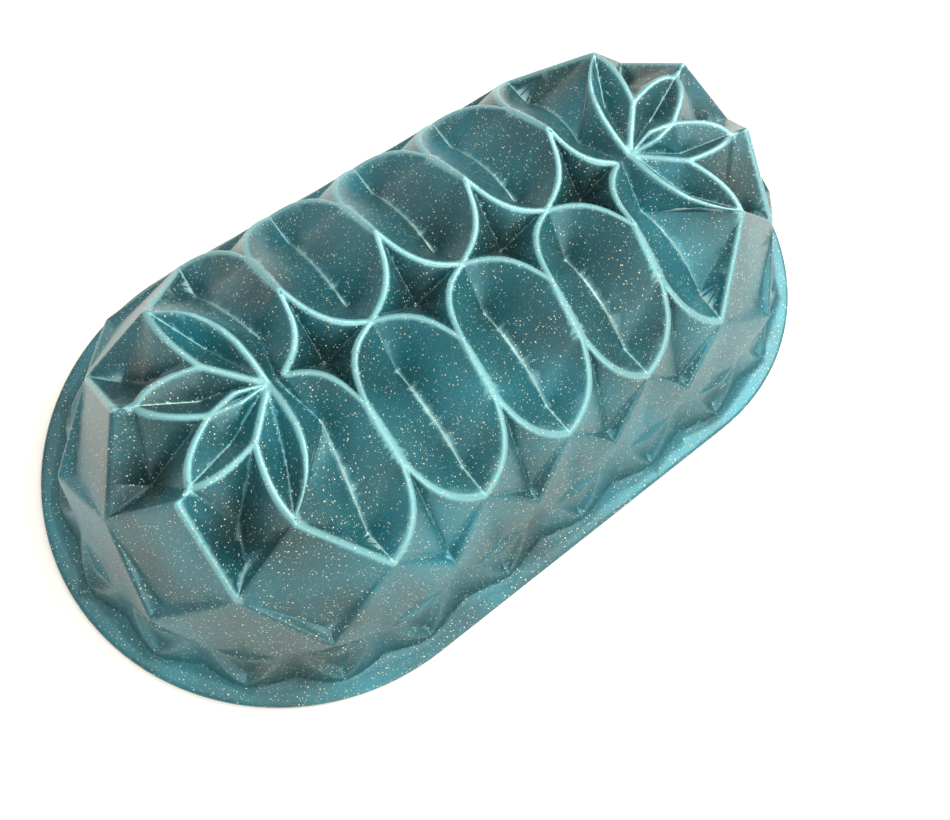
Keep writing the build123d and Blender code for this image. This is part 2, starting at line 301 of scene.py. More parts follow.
class Relief:
    """Sharp facets of one skin of the pan, in millimetres, for the quarter where X and Y are above 0."""

    def __init__(self, sizes, inset, rim):
        self.pitch = sizes.pitch / MM
        self.half_length = self.pitch * BAY_COUNT / 2
        self.inset = inset
        self.rim = rim
        self.ribs = []
        self.lines = []

    def side(self, column, sense, along, out, height):
        """Point beside the straight stretch, a distance along from its lens column."""
        out, height = settle(out, height, self.inset)
        return Vector((column + sense * along, out, height))

    def end(self, turn, out, height):
        """Point round the end, turned from the long axis."""
        out, height = settle(out, height, self.inset)
        angle = math.radians(turn)
        return Vector((self.half_length + out * math.cos(angle), out * math.sin(angle), height))

    def eye_half(self, place, at_rim, neck_share):
        """Half an eye, from its middle to the neck beside it, with the rim under it."""
        inner = place(0, *LEDGE_INNER)
        outer = place(0, *LEDGE_OUTER)
        tip = place(EYE_HALF, *LEDGE_TIP)
        neck = place(neck_share, *NECK)
        hollow = place(0, *HOLLOW)
        low = place(0, *EYE_FOOT)
        side = place(EYE_SIDE_HALF, *EYE_SIDE)
        neck_mid = place(neck_share, *NECK_MID)
        shares = [step / FOOT_STEPS for step in range(FOOT_STEPS + 1)]
        tops = []
        for share in shares:
            foot_out = FOOT_OUT + FOOT_WAVE * math.cos(math.pi * share)
            top = place(neck_share * share, foot_out, FLANGE_THICKNESS)
            top.z = FLANGE_THICKNESS
            tops.append(top)
        cells = [
            (inner, outer, tip),
            (outer, hollow, tip),
            (hollow, side, tip),
            (hollow, low, side),
            (tip, side, neck_mid),
            (tip, neck_mid, neck),
            (low, tops[0], tops[1]),
            (low, tops[1], side),
        ]
        cells += fan(side, tops[1:-1])
        cells.append((side, tops[-2], neck_mid))
        cells += fan(neck_mid, tops[-2:])
        rows = [tops]
        for out, height in self.rim:
            # A row without a distance lies straight under the wall's foot
            if out is None:
                rows.append([Vector((top.x, top.y, height)) for top in tops])
            else:
                rows.append([at_rim(neck_share * share, out, height) for share in shares])
        for upper, lower in zip(rows, rows[1:]):
            cells += strip(upper, lower)
        return cells, inner, tip, neck

    def half_bay(self, index):
        """Strip of the pan from a lens column to the middle of the next bay, on one side."""
        sense = 1 if index % 2 else -1
        column = self.half_length - self.pitch * ((index + 1) // 2)

        def place(along, out, height):
            return self.side(column, sense, along, out, height)

        def at_rim(along, out, height):
            return Vector((column + sense * along, out, height))

        half = self.pitch / 2
        node = place(0, 0, NODE_HEIGHT)
        star_floor = place(half, 0, STAR_FLOOR_HEIGHT)
        upper = place(half, UPPER_SHOULDER_OUT, UPPER_SHOULDER_HEIGHT)
        lower = place(half, LOWER_SHOULDER_OUT, LOWER_SHOULDER_HEIGHT)
        tip = place(0, LENS_TIP_OUT, LENS_TIP_HEIGHT)
        valley_top = place(0, VALLEY_TOP_OUT, VALLEY_TOP_HEIGHT)
        valley_foot = place(0, VALLEY_FOOT_OUT, VALLEY_FOOT_HEIGHT)
        if index == 0:
            node = place(STAR_TIP_IN, 0, STAR_TIP_HEIGHT)
            valley_top = place(KINK_IN, KINK_OUT, KINK_HEIGHT)
            valley_foot = place(LAST_VALLEY_FOOT_IN, VALLEY_FOOT_OUT, VALLEY_FOOT_HEIGHT)
        foot = place(half, KITE_FOOT_OUT, KITE_FOOT_HEIGHT)
        notch = place(half, KITE_FOOT_OUT - NOTCH_DEPTH, NOTCH_HEIGHT)

        upper_edge = bow(node, upper, place(0, UPPER_SHOULDER_OUT, 0), LENS_BOW)
        lower_edge = bow(lower, tip, place(0, LOWER_SHOULDER_OUT, 0), LENS_BOW)
        long_valley = bow(valley_top, valley_foot, node, 0.0, VALLEY_RISE)

        # Ridges that get a paler, thinner coat and a painted highlight, and grooves that get a painted
        # highlight line, each with its strength
        self.ribs += [(upper_edge, 1.0), (line(upper, lower), 1.0), (lower_edge, LOW_RIB)]
        self.lines += [([node, valley_top], 0.6), (long_valley, 1.0), ([valley_foot, tip], 1.0)]
        self.lines += [([node, star_floor], 0.4), ([upper, star_floor], 0.4)]

        cells = fan(valley_top, upper_edge)
        if index == 0:
            cells.append((place(GATE_IN, 0, GATE_HEIGHT), node, valley_top))
        cells += strip(long_valley, line(upper, lower))
        cells += fan(valley_foot, lower_edge)
        cells += fan(star_floor, upper_edge)
        eye_cells, inner, eye_tip, neck = self.eye_half(place, at_rim, half)
        cells += kite_half(lower_edge, tip, foot, notch, eye_tip) + eye_cells
        return cells + [(tip, inner, eye_tip), (foot, eye_tip, neck)]

    def half_eye_at(self, turn, sense):
        """Half an eye round the end, from its middle at this turn to the neck beside it."""
        def turned(along):
            return turn + sense * math.degrees(along / LEDGE_TIP[0])

        def place(along, out, height):
            return self.end(turned(along), out, height)

        def at_rim(along, out, height):
            angle = math.radians(turned(along))
            return Vector((self.half_length + out * math.cos(angle), out * math.sin(angle), height))

        return self.eye_half(place, at_rim, LEDGE_TIP[0] * math.radians(EYE_TURN / 2))

    def end_skirt(self, turn, sense, side_curve, corner, foot, notch):
        """Half a kite and the facets under it, down to the rim, one eye wide."""
        cells, inner, first_tip, neck = self.half_eye_at(turn, sense)
        more, under_foot, second_tip, neck = self.half_eye_at(turn + sense * EYE_TURN, -sense)
        return cells + more + kite_half(side_curve, corner, foot, notch, neck) + [
            (corner, inner, first_tip),
            (corner, first_tip, neck),
            (neck, second_tip, foot),
            (foot, second_tip, under_foot),
        ]

    def end_quarter(self):
        """Half of the pan's end, from the long axis round to the last lens."""
        hub = self.end(0, HUB_OUT, HUB_HEIGHT)
        axis_corner = self.end(0, *INNER_CORNER)
        side_corner = self.end(DIAMOND_TURN, *INNER_CORNER)
        leaf_a = self.end(*LEAF_A)
        leaf_b = self.end(*LEAF_B)
        kite_top = self.end(*KITE_TOP)
        axis_diamond = self.end(0, *DIAMOND)
        side_diamond = self.end(DIAMOND_TURN, *DIAMOND)
        axis_pit = self.end(*AXIS_PIT)
        side_pit = self.end(*SIDE_PIT)
        side_shelf = self.end(*SIDE_SHELF)
        lens_tip = self.end(90, LENS_TIP_OUT, LENS_TIP_HEIGHT)
        gate = self.side(self.half_length, -1, GATE_IN, 0, GATE_HEIGHT)
        valley_top = self.side(self.half_length, -1, KINK_IN, KINK_OUT, KINK_HEIGHT)
        valley_foot = self.side(
            self.half_length, -1, LAST_VALLEY_FOOT_IN, VALLEY_FOOT_OUT, VALLEY_FOOT_HEIGHT
        )
        bud_side = self.end(math.degrees(math.atan2(BUD_HALF, BUD[0])), *BUD)
        bud_floor = self.end(0, BUD[0], BUD_FLOOR_HEIGHT)
        bend_a = self.end(LEAF_A[0], LEAF_A[1] * LEAF_VALLEY_SHARE, LEAF_VALLEY_HEIGHT)
        bend_b = self.end(LEAF_B[0], LEAF_B[1] * LEAF_VALLEY_SHARE, LEAF_VALLEY_HEIGHT)
        beside_a = self.end(LEAF_A[0], INNER_CORNER[0], 0)
        beside_b = self.end(LEAF_B[0], INNER_CORNER[0], 0)
        b_axis_edge = bow(axis_corner, leaf_b, beside_b, LEAF_BOW, LEAF_RISE)
        b_side_edge = bow(side_corner, leaf_b, beside_b, LEAF_BOW, LEAF_RISE)
        a_side_edge = bow(side_corner, leaf_a, beside_a, LEAF_BOW, LEAF_RISE)
        lens_edge = bow(hub, leaf_a, side_corner, LENS_LEAF_BOW, LENS_LEAF_RISE)
        straight = line(leaf_a, lens_tip)
        long_valley = bow(valley_top, valley_foot, hub, 0.0, VALLEY_RISE)

        # Ridges that get a paler, thinner coat and a painted highlight, and grooves that get a painted
        # highlight line, each with its strength
        for edge in (b_axis_edge, b_side_edge, a_side_edge, lens_edge, [hub, side_corner]):
            self.ribs.append((edge, 1.0))
        self.ribs += [([hub, bud_side, axis_corner], 0.7), (straight, LOW_RIB)]
        self.ribs.append(([kite_top, side_diamond], LOW_RIB))
        for valley in ([bend_a, leaf_a], [bend_b, leaf_b], [valley_foot, lens_tip], long_valley):
            self.lines.append((valley, 1.0))
        self.lines += [([gate, valley_top], 0.6), ([hub, bend_a], 0.3), ([hub, bend_b], 0.3)]
        self.lines += [([side_pit, side_shelf], 0.4), ([side_shelf, side_diamond], 0.9)]
        self.lines.append(([axis_pit, axis_diamond], 0.7))

        # Bud and leaves
        cells = [(hub, bud_floor, bud_side), (bud_floor, axis_corner, bud_side)]
        cells += [(hub, bud_side, bend_b), (bud_side, axis_corner, bend_b), (hub, bend_b, side_corner)]
        cells += fan(bend_b, b_axis_edge) + fan(bend_b, b_side_edge)
        cells += [(hub, side_corner, bend_a)] + fan(bend_a, a_side_edge) + fan(bend_a, lens_edge)

        # Outer half of the last lens
        cells += [(gate, hub, valley_top)] + fan(valley_top, lens_edge)
        cells += fan(leaf_a, long_valley)
        cells += fan(valley_foot, straight)

        # Diamonds, each round its pit
        cells += fan(axis_pit, b_axis_edge)
        cells += [(axis_pit, leaf_b, kite_top), (axis_pit, kite_top, axis_diamond)]
        cells += fan(side_pit, b_side_edge) + fan(side_pit, a_side_edge)
        cells += [
            (side_pit, leaf_b, kite_top),
            (side_pit, kite_top, side_shelf),
            (side_shelf, kite_top, side_diamond),
            (side_pit, leaf_a, side_shelf),
            (side_shelf, leaf_a, side_diamond),
        ]

        # Kites and the wall under them
        feet = []
        for turn in (EYE_TURN, 3 * EYE_TURN):
            foot = self.end(turn, END_KITE_FOOT_OUT, KITE_FOOT_HEIGHT)
            notch = self.end(turn, END_KITE_FOOT_OUT - NOTCH_DEPTH, NOTCH_HEIGHT)
            feet.append((foot, notch))
        near, far = feet
        cells += self.end_skirt(0, 1, [kite_top, axis_diamond], axis_diamond, *near)
        cells += self.end_skirt(DIAMOND_TURN, -1, [kite_top, side_diamond], side_diamond, *near)
        cells += self.end_skirt(DIAMOND_TURN, 1, [leaf_a, side_diamond], side_diamond, *far)
        return cells + self.end_skirt(90, -1, straight, lens_tip, *far)


def facet_mesh(cells, up):
    """Welded triangles whose normals face up on the whole, or down."""
    mesh = bmesh.new()
    for cell in cells:
        mesh.faces.new([mesh.verts.new(point) for point in cell])
    weld(mesh, WELD)
    face_one_way(mesh, up)
    return mesh


def weld(mesh, distance):
    """Join corners that meet, and drop what has no length left."""
    bmesh.ops.remove_doubles(mesh, verts=mesh.verts, dist=distance)
    bmesh.ops.dissolve_degenerate(mesh, edges=mesh.edges, dist=distance / 10)


def face_one_way(mesh, up):
    """Turn all faces alike, so that they look up on the whole, or down."""
    bmesh.ops.recalc_face_normals(mesh, faces=mesh.faces)
    lift = sum(face.normal.z * face.calc_area() for face in mesh.faces)
    if (lift > 0) != up:
        bmesh.ops.reverse_faces(mesh, faces=mesh.faces)
    mesh.normal_update()


def whole_facets(relief, up):
    """Sharp facets of the whole pan: its quarter and the three mirror images of it."""
    quarter = relief.end_quarter()
    for index in range(BAY_COUNT):
        quarter += relief.half_bay(index)
    cells = [
        tuple(Vector((across * point.x, side * point.y, point.z)) for point in cell)
        for across in (1, -1)
        for side in (1, -1)
        for cell in quarter
    ]
    return facet_mesh(cells, up)


def crease_trees(mesh):
    """Trees of points along the sharp ridges and along the sharp valleys."""
    ridges = []
    valleys = []
    for edge in mesh.edges:
        if len(edge.link_faces) != 2:
            continue
        turn = edge.calc_face_angle_signed(0.0)
        if abs(turn) < CREASE_TURN:
            continue
        first, second = (vert.co for vert in edge.verts)
        count = max(2, math.ceil((first - second).length / CREASE_SPACING))
        kept = ridges if turn > 0 else valleys
        kept += [first.lerp(second, step / count) for step in range(count + 1)]
    return point_tree(ridges), point_tree(valleys)


def point_tree(points):
    """Tree that finds the nearest of these points."""
    tree = KDTree(len(points))
    for index, point in enumerate(points):
        tree.insert(point, index)
    tree.balance()
    return tree


def drawn_tree(curves):
    """Tree of points along curves of one quarter and their mirror images, with each point's strength."""
    points = []
    strengths = []
    for curve, strength in curves:
        for first, second in zip(curve, curve[1:]):
            count = max(2, math.ceil((first - second).length / CREASE_SPACING))
            for step in range(count + 1):
                point = first.lerp(second, step / count)
                for side in (1, -1):
                    points.append(Vector((point.x, side * point.y, point.z)))
                    strengths.append(strength)
    return point_tree(points), strengths


def eroded_tree(mesh, radius):
    """The facets moved into the metal by the radius, each parallel to itself, for distance queries."""
    moved = []
    for vert in mesh.verts:
        planes = []
        for face in vert.link_faces:
            if all(face.normal.dot(known) < SAME_PLANE for known in planes):
                planes.append(face.normal)
        rows = np.array([tuple(plane) for plane in planes])
        square = rows.T @ rows + DAMPING * np.eye(3)
        step = Vector(np.linalg.solve(square, -radius * rows.sum(axis=0)))
        if step.length > LONGEST_MOVE * radius:
            step.length = LONGEST_MOVE * radius
        moved.append(vert.co + step)
    mesh.verts.index_update()
    return BVHTree.FromPolygons(moved, [[vert.index for vert in face.verts] for face in mesh.faces])


def refine(mesh, trees, fine, coarse, radius):
    """Split long edges until each is as short as its distance from a ridge or a valley asks."""
    ridges, valleys = trees

    def wanted(point):
        to_ridge = ridges.find(point)[2]
        to_valley = valleys.find(point)[2]
        near_ridge = fine + GROWTH * max(0.0, to_ridge - radius)
        near_valley = VALLEY_EDGE + GROWTH * to_valley
        return min(coarse, near_ridge, near_valley)

    facet = mesh.faces.layers.int.new("facet")
    for index, face in enumerate(mesh.faces):
        face[facet] = index
    for attempt in range(PASSES):
        long_edges = []
        for edge in mesh.edges:
            first, second = (vert.co for vert in edge.verts)
            if (first - second).length > SLACK * wanted((first + second) * 0.5):
                long_edges.append(edge)
        if not long_edges:
            break
        bmesh.ops.subdivide_edges(mesh, edges=long_edges, cuts=1)
        bmesh.ops.triangulate(mesh, faces=mesh.faces, quad_method="SHORT_EDGE", ngon_method="BEAUTY")
        turn_slivers(mesh)
        inside_facets = [
            edge for edge in mesh.edges
            if len(edge.link_faces) == 2 and edge.link_faces[0][facet] == edge.link_faces[1][facet]
        ]
        bmesh.ops.beautify_fill(mesh, faces=mesh.faces, edges=inside_facets, method="AREA")
    bmesh.ops.dissolve_degenerate(mesh, edges=mesh.edges, dist=SLIVER)
    bmesh.ops.triangulate(mesh, faces=mesh.faces)
    turn_slivers(mesh)


def turn_slivers(mesh):
    """Turn the longest edge of each triangle that has no area, so that it gets some."""
    for attempt in range(SLIVER_ROUNDS):
        turned = []
        used = set()
        for face in mesh.faces:
            edge = max(face.edges, key=lambda one: one.calc_length())
            if face.calc_area() < SLIVER * edge.calc_length() and len(edge.link_faces) == 2:
                if not used.intersection(edge.link_faces):
                    turned.append(edge)
                    used.update(edge.link_faces)
        if not turned:
            break
        bmesh.ops.rotate_edges(mesh, edges=turned, use_ccw=True)


def soften(mesh):
    """Even out the small steps between facets, and hold the creases and borders."""
    held = set()
    for edge in mesh.edges:
        if len(edge.link_faces) != 2 or edge.calc_face_angle(0.0) > CREASE_TURN:
            held.update(edge.verts)
    free = [vert for vert in mesh.verts if vert not in held]
    for attempt in range(SMOOTH_ROUNDS):
        bmesh.ops.smooth_vert(
            mesh, verts=free, factor=0.5, use_axis_x=True, use_axis_y=True, use_axis_z=True
        )


def closeness(tree, strengths, point, band):
    """How near a point is to the strongest curve within reach, from 0 to 1."""
    best = 0.0
    for place, index, distance in tree.find_range(point, BAND_REACH * band):
        best = max(best, strengths[index] * math.exp(-((distance / band) ** BAND_FALL)))
    return best


def shaded_hollow_centres(relief):
    """Bottoms of the stars and of the deep pits in the end diamonds, round which the coat gets painted
    shade.
    """
    centres = [
        relief.side(relief.pitch * (index - BAY_COUNT / 2 + 0.5), 1, 0, 0, STAR_FLOOR_HEIGHT)
        for index in range(BAY_COUNT)
    ]
    return centres + [relief.end(*AXIS_PIT), relief.end(*SIDE_PIT)]


def rounded_cell(name, cells, trees, eroded, radius, drawn, borders, sizes, up, shift):
    """Refined part of a skin with rounded ridges, as an object in metres."""
    mesh = facet_mesh(cells, up)
    refine(mesh, trees, sizes.fine / MM, sizes.coarse / MM, radius)
    soften(mesh)
    # Closeness to ribs and grooves, for the paler coat and the painted highlights, and the painted shade
    # round the hollows, kept per point
    ribs, lines, shaded_hollows = drawn
    rib_layer = mesh.verts.layers.float.new("rib")
    line_layer = mesh.verts.layers.float.new("line")
    hollow_shade_layer = mesh.verts.layers.float.new("hollow_shade")
    for vert in mesh.verts:
        point = vert.co.copy()
        vert[rib_layer] = closeness(*ribs, point, RIB_BAND)
        vert[line_layer] = closeness(*lines, point, LINE_BAND)
        # Painted shade, strongest at the bottoms of the stars and pits
        away = min((point - centre).length for centre in shaded_hollows)
        vert[hollow_shade_layer] = math.exp(-((away / HOLLOW_SHADE_REACH) ** BAND_FALL))
        nearest, normal, index, distance = eroded.find_nearest(point)
        if distance > radius:
            vert.co = nearest + (point - nearest) * (radius / distance)
        for axis, level in borders:
            if abs(point[axis] - level) < WELD:
                vert.co[axis] = level
        if point.z < WELD:
            vert.co.z = 0
    bmesh.ops.translate(mesh, verts=mesh.verts, vec=shift)
    bmesh.ops.scale(mesh, verts=mesh.verts, vec=(MM, MM, MM))
    return new_object(name, mesh)


def new_object(name, mesh):
    """Object at the origin with this mesh."""
    data = bpy.data.meshes.new(name)
    mesh.to_mesh(data)
    mesh.free()
    shape = bpy.data.objects.new(name, data)
    bpy.context.collection.objects.link(shape)
    return shape


def add_node(tree, kind, values=(), links=(), **settings):
    """Node with settings, values by input and links by input from other nodes' outputs."""
    made = tree.nodes.new(kind)
    for key, value in settings.items():
        setattr(made, key, value)
    for key, value in dict(values).items():
        made.inputs[key].default_value = value
    for key, source in dict(links).items():
        tree.links.new(source, made.inputs[key])
    return made


def repeat_tree():
    """Lay the bay cell along the pan, the end cell at each end, and mirror both across the long axis."""
    tree = bpy.data.node_groups.new("Repeat relief", "GeometryNodeTree")
    for name, kind in (
        ("Geometry", "Geometry"),
        ("Bay cell", "Object"),
        ("End cell", "Object"),
        ("Pitch", "Float"),
        ("Columns", "Int"),
        ("Merge distance", "Float"),
        ("Finish", "Material"),
    ):
        tree.interface.new_socket(name, in_out="INPUT", socket_type="NodeSocket" + kind)
    tree.interface.new_socket("Geometry", in_out="OUTPUT", socket_type="NodeSocketGeometry")
    given = add_node(tree, "NodeGroupInput").outputs

    def mirrored(geometry, scale):
        """Geometry with its mirror image, as one output."""
        copy = add_node(tree, "GeometryNodeTransform", {"Scale": scale}, {"Geometry": geometry})
        both = add_node(tree, "GeometryNodeJoinGeometry")
        tree.links.new(geometry, both.inputs[0])
        tree.links.new(copy.outputs[0], both.inputs[0])
        return both.outputs[0]

    bay = add_node(tree, "GeometryNodeObjectInfo", links={"Object": given["Bay cell"]})
    end = add_node(tree, "GeometryNodeObjectInfo", links={"Object": given["End cell"]})

    # The columns stand half their whole reach to each side of the middle
    gaps = add_node(tree, "ShaderNodeMath", {1: 1.0}, {0: given["Columns"]}, operation="SUBTRACT")
    reach = add_node(
        tree, "ShaderNodeMath", links={0: gaps.outputs[0], 1: given["Pitch"]}, operation="MULTIPLY"
    )
    first = add_node(tree, "ShaderNodeMath", {1: -0.5}, {0: reach.outputs[0]}, operation="MULTIPLY")
    start = add_node(tree, "ShaderNodeCombineXYZ", links={"X": first.outputs[0]})
    spacing = add_node(tree, "ShaderNodeCombineXYZ", links={"X": given["Pitch"]})
    columns = add_node(
        tree, "GeometryNodeMeshLine",
        links={"Count": given["Columns"], "Start Location": start.outputs[0], "Offset": spacing.outputs[0]},
    )
    bays = add_node(
        tree, "GeometryNodeInstanceOnPoints",
        links={"Points": columns.outputs[0], "Instance": mirrored(bay.outputs["Geometry"], (-1, 1, 1))},
    )
    ends = mirrored(end.outputs["Geometry"], (-1, 1, 1))
    half = add_node(tree, "GeometryNodeJoinGeometry")
    tree.links.new(bays.outputs[0], half.inputs[0])
    tree.links.new(ends, half.inputs[0])
    flat = add_node(tree, "GeometryNodeRealizeInstances", links={"Geometry": half.outputs[0]})
    whole = mirrored(flat.outputs[0], (1, -1, 1))
    merged = add_node(
        tree, "GeometryNodeMergeByDistance", links={"Geometry": whole, "Distance": given["Merge distance"]}
    )
    smooth = add_node(tree, "GeometryNodeSetShadeSmooth", links={"Geometry": merged.outputs[0]})
    realized = add_node(tree, "GeometryNodeRealizeInstances", links={"Geometry": smooth.outputs[0]})
    painted = add_node(
        tree, "GeometryNodeSetMaterial", links={"Geometry": realized.outputs[0], "Material": given["Finish"]}
    )
    add_node(tree, "NodeGroupOutput", links={"Geometry": painted.outputs[0]})
    return tree


def settled(shape):
    """Plain mesh of what an object's modifiers make, put in their place."""
    graph = bpy.context.evaluated_depsgraph_get()
    made = bpy.data.meshes.new_from_object(shape.evaluated_get(graph), depsgraph=graph)
    shape.modifiers.clear()
    shape.data = made
    return made


def repeated(name, bay_cell, end_cell, sizes, finish, up):
    """One mesh of the whole skin, at the origin, facing one way."""
    seed = bpy.data.objects.new(name, bpy.data.meshes.new(name + "_seed"))
    bpy.context.collection.objects.link(seed)
    tree = bpy.data.node_groups.get("Repeat relief") or repeat_tree()
    modifier = seed.modifiers.new("Repeat relief", "NODES")
    modifier.node_group = tree
    values = {
        "Bay cell": bay_cell,
        "End cell": end_cell,
        "Pitch": sizes.pitch,
        "Columns": BAY_COUNT - 1,
        "Merge distance": WELD * MM,
        "Finish": finish,
    }
    for item in tree.interface.items_tree:
        if item.in_out == "INPUT" and item.name in values:
            modifier[item.identifier] = values[item.name]
    seed.update_tag()
    bpy.context.view_layer.update()
    made = settled(seed)
    for cell in (bay_cell, end_cell):
        bpy.data.objects.remove(cell)
    mesh = bmesh.new()
    mesh.from_mesh(made)
    face_one_way(mesh, up)
    mesh.to_mesh(made)
    mesh.free()
    made.materials.clear()
    made.materials.append(finish)
    return seed


def thin_out(shape, count):
    """Collapse the flattest edges away from the ribs, until the mesh has no more faces than the count."""
    ribs = shape.data.attributes["rib"].data
    lines = shape.data.attributes["line"].data
    plain = [
        index for index in range(len(shape.data.vertices))
        if ribs[index].value < PLAIN and lines[index].value < PLAIN
    ]
    group = shape.vertex_groups.new(name="plain")
    group.add(plain, 1.0, "REPLACE")
    modifier = shape.modifiers.new("Thin out", "DECIMATE")
    modifier.ratio = min(1.0, count / len(shape.data.polygons))
    modifier.vertex_group = group.name
    modifier.vertex_group_factor = 1.0
    settled(shape)
    shape.vertex_groups.clear()


def skin(name, inset, rim, radius, finish, up):
    """Rounded skin of the pan at an inset from the outside."""
    sizes = bpy.context.scene.pan_sizes
    relief = Relief(sizes, inset, rim)
    facets = whole_facets(relief, up)
    trees = crease_trees(facets)
    eroded = eroded_tree(facets, radius)
    facets.free()
    drawn = drawn_tree(relief.ribs), drawn_tree(relief.lines), shaded_hollow_centres(relief)
    border = relief.half_length - relief.pitch / 2
    column = relief.half_length - relief.pitch
    bay_cell = rounded_cell(
        name + "_bay", relief.half_bay(1), trees, eroded, radius, drawn,
        ((0, column), (0, border), (1, 0.0)), sizes, up, Vector((-column, 0, 0)),
    )
    end_cell = rounded_cell(
        name + "_end", relief.half_bay(0) + relief.end_quarter(), trees, eroded, radius, drawn,
        ((0, border), (1, 0.0)), sizes, up, Vector((0, 0, 0)),
    )
    whole = repeated(name, bay_cell, end_cell, sizes, finish, up)
    thin_out(whole, SKIN_FACES)
    return whole


def thicken(shape, thickness):
    """Give a skin its thickness behind its face."""
    modifier = shape.modifiers.new("Thickness", "SOLIDIFY")
    modifier.thickness = thickness
    modifier.offset = -1
    modifier.use_even_offset = False
    settled(shape)


def linear(colour):
    """Linear RGBA of an sRGB hex colour."""
    channels = [int(colour[index:index + 2], 16) / 255 for index in (1, 3, 5)]
    return [
        channel / 12.92 if channel <= 0.04045 else ((channel + 0.055) / 1.055) ** 2.4 for channel in channels
    ] + [1.0]


def new_material(name):
    """Material with its node tree and its surface shader."""
    material = bpy.data.materials.new(name)
    material.use_nodes = True
    tree = material.node_tree
    return material, tree, tree.nodes["Principled BSDF"]


def mix_colour(tree, share, first, second):
    """Blend of two colours, each of them a value or another node's output."""
    mixed = tree.nodes.new("ShaderNodeMix")
    mixed.data_type = "RGBA"
    for socket, value in ((mixed.inputs[0], share), (mixed.inputs[6], first), (mixed.inputs[7], second)):
        if isinstance(value, bpy.types.NodeSocket):
            tree.links.new(value, socket)
        else:
            socket.default_value = value
    return mixed.outputs[2]


def stretched(tree, source, low, high, to_low=0.0, to_high=1.0):
    """Value of a source between two levels, held at both ends."""
    made = add_node(tree, "ShaderNodeMapRange", {1: low, 2: high, 3: to_low, 4: to_high}, {0: source})
    return made.outputs[0]


def product(tree, first, second):
    """Product of a source and a number or another source."""
    made = add_node(tree, "ShaderNodeMath", links={0: first}, operation="MULTIPLY")
    if isinstance(second, bpy.types.NodeSocket):
        tree.links.new(second, made.inputs[1])
    else:
        made.inputs[1].default_value = second
    return made.outputs[0]


def flakes(tree, place, cell, radius, share):
    """Small spots, one in some of the cells: cell and radius in metres, share of the cells that have one."""
    spots = add_node(tree, "ShaderNodeTexVoronoi", {"Scale": 1 / cell, "Randomness": 1.0}, {"Vector": place})
    parts = add_node(tree, "ShaderNodeSeparateColor", links={"Color": spots.outputs["Color"]})
    chosen = add_node(tree, "ShaderNodeMath", {1: share}, {0: parts.outputs[0]}, operation="LESS_THAN")
    size = stretched(tree, parts.outputs[1], 0.0, 1.0, 0.45 * radius / cell, radius / cell)
    inside = add_node(
        tree, "ShaderNodeMath", links={0: spots.outputs["Distance"], 1: size}, operation="LESS_THAN"
    )
    return product(tree, inside.outputs[0], chosen.outputs[0])


